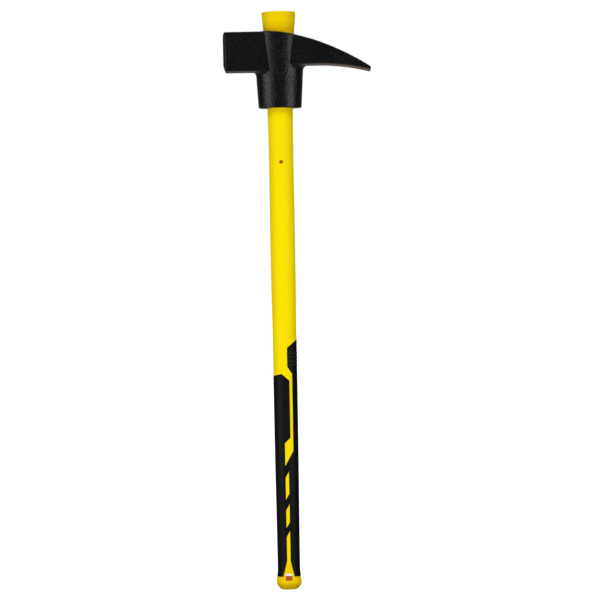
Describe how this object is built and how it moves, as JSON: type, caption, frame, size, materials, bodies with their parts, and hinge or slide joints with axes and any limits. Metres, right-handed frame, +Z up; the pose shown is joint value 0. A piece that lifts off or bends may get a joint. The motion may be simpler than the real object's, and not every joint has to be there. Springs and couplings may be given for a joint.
{
  "type": "fire axe",
  "caption": "Long-handled forcing tool: forged steel head with a square hammer poll and a curved flat-ended wedge, dropped over a moulded fibreglass-core handle with a rubber grip.",
  "frame": {"origin": "centre of the butt's flat end, on the handle's axis", "axes": "+Z up the handle to the head, +X from the handle's axis towards the wedge (the hammer poll is on -X), +Y across the tool, away from the side the blank label is on"},
  "size_m": [0.2298, 0.053, 0.9],
  "materials": {
    "forged_head": "fine-textured black powder coat",
    "core": "pultruded glass-fibre rod",
    "jacket": "satin moulded polypropylene",
    "grip": "matte thermoplastic rubber",
    "label": "blank two-tone sticker"
  },
  "bodies": {
    "head": {"head": "forged_head"},
    "handle": {"core_rod": "core", "jacket": "jacket", "grip_overmould": "grip", "butt_label": "label"}
  },
  "joints": [
    {"name": "handle_slide", "type": "slide", "parent": "head", "child": "handle", "axis": [0, 0, 1], "range_m": [0, 0.9]}
  ]
}
